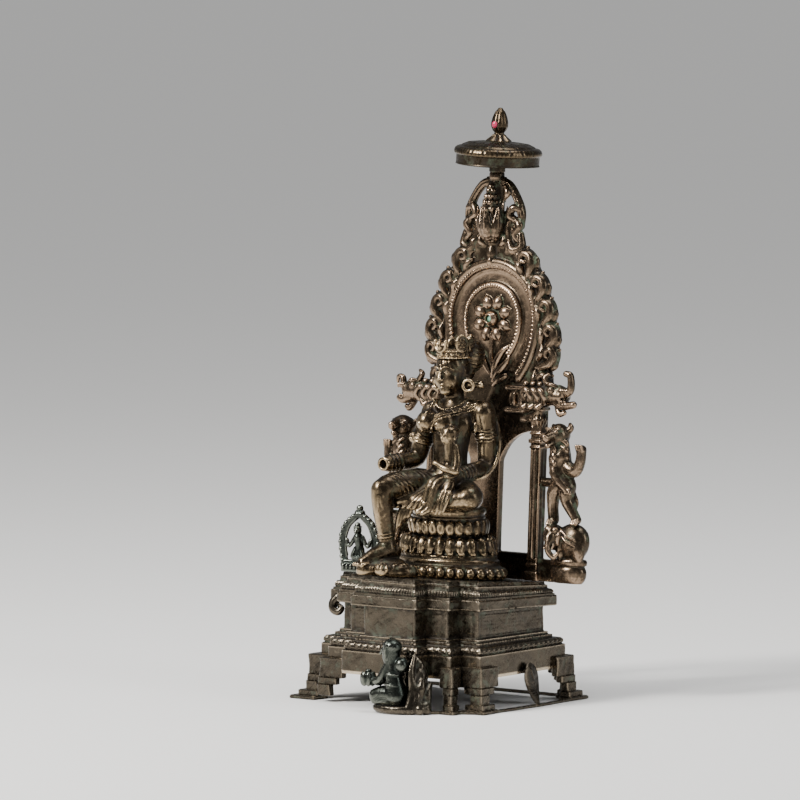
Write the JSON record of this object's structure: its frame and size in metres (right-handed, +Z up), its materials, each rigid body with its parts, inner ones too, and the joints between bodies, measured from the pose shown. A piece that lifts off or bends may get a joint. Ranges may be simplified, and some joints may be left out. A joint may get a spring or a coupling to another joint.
{
  "type": "enthroned goddess figure",
  "caption": "Small cast-bronze goddess with a child, seated on a lotus before a pierced throne back with a halo and parasol, on a stepped footed pedestal.",
  "frame": {"origin": "on the floor, under the middle of the bounding box", "axes": "+Z up, -Y the way the goddess faces, +X to her left"},
  "size_m": [0.1346, 0.1286, 0.298],
  "materials": {
    "bronze": "worn warm bronze, dark and slightly green in the hollows",
    "dark_bronze": "green-black bronze, polished by handling",
    "turquoise": "opaque blue-green stone",
    "ruby": "polished pink-red stone"
  },
  "bodies": {
    "root": {"pedestal": "bronze", "kneeling_donor": "dark_bronze", "side_shrine": "dark_bronze", "goddess": "bronze", "throne_back": "bronze", "turquoise": "turquoise", "parasol": "bronze", "ruby": "ruby"}
  },
  "joints": []
}
